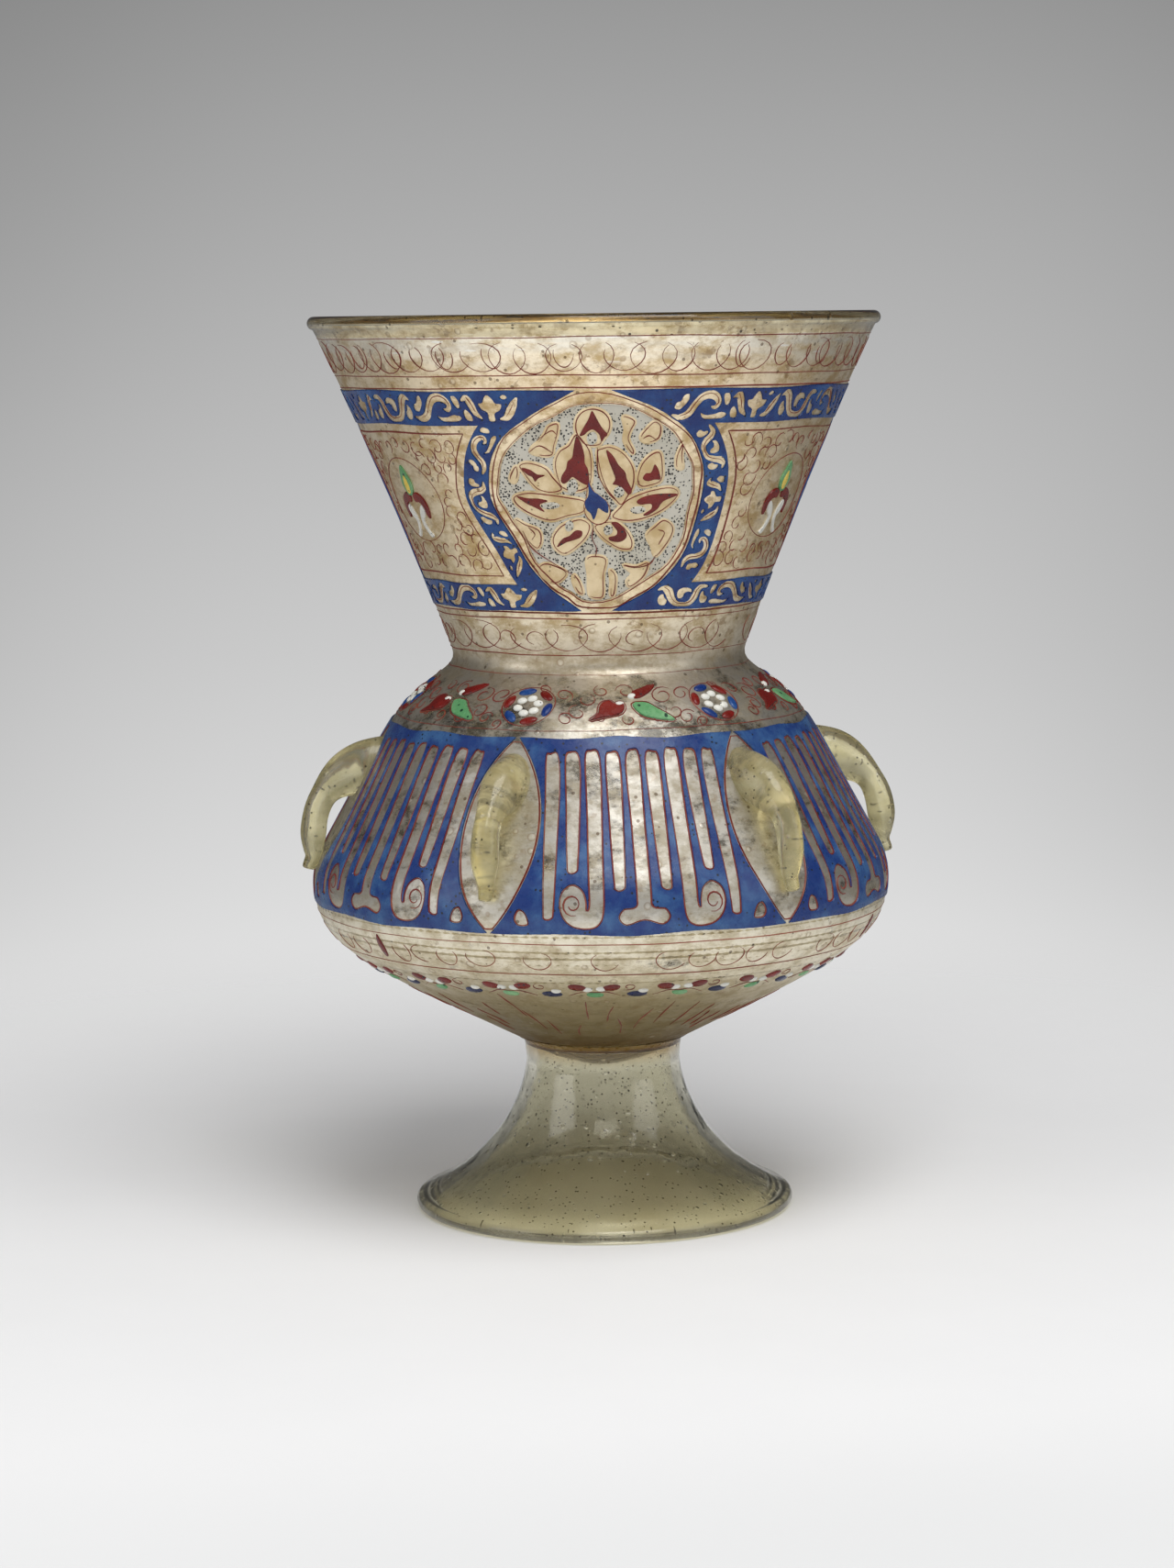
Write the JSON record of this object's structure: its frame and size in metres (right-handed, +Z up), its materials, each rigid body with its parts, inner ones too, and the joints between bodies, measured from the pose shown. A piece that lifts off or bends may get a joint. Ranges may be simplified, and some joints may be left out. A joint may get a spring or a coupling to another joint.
{
  "type": "mosque lamp",
  "caption": "Hanging glass lamp with a flaring neck, wide bulb, funnel foot and applied suspension loops, enamelled and gilded in bands, holding a lift-out oil cup and wick.",
  "frame": {"origin": "centre of the foot's resting ring", "axes": "+Z up along the lamp's axis, +X through the first suspension loop"},
  "size_m": [0.2156, 0.206, 0.32],
  "materials": {
    "body_glass": "bubbly pale brown glass, gilded in bands, thin red outlines",
    "foot_glass": "clear bubbly green-brown glass",
    "loop_glass": "thick bubbly yellow-green glass",
    "blue_enamel": "glossy fired cobalt enamel",
    "dark_blue_enamel": "glossy fired dark blue enamel",
    "red_enamel": "glossy fired brick red enamel",
    "white_enamel": "glossy fired white enamel with pits",
    "green_enamel": "glossy fired green enamel",
    "cup_glass": "clear thin glass",
    "brass": "dull worn brass",
    "wick_cotton": "twisted cotton"
  },
  "bodies": {
    "lamp": {"body": "body_glass", "foot": "foot_glass", "loop_1": "loop_glass", "loop_2": "loop_glass", "loop_3": "loop_glass", "loop_4": "loop_glass", "loop_5": "loop_glass", "loop_6": "loop_glass", "neck_blue_enamel": "blue_enamel", "medallion_white_grounds": "white_enamel", "medallion_red_petals": "red_enamel", "medallion_blue_hearts": "blue_enamel", "panel_red_petals": "red_enamel", "panel_green_buds": "green_enamel", "shoulder_red_leaves": "red_enamel", "shoulder_green_leaves": "green_enamel", "shoulder_white_dots": "white_enamel", "shoulder_blue_enamel": "blue_enamel", "belly_red_dots": "red_enamel", "belly_white_dots": "white_enamel", "belly_green_dots": "green_enamel", "belly_blue_dots": "dark_blue_enamel"},
    "oil_cup": {"oil_cup": "cup_glass"},
    "wick_holder": {"wick_holder": "brass", "wick": "wick_cotton"}
  },
  "joints": [
    {"name": "oil_cup_lift", "type": "slide", "parent": "lamp", "child": "oil_cup", "axis": [0, 0, 1], "range_m": [0, 0.27]},
    {"name": "wick_holder_lift", "type": "slide", "parent": "oil_cup", "child": "wick_holder", "axis": [0, 0, 1], "range_m": [0, 0.035]}
  ]
}
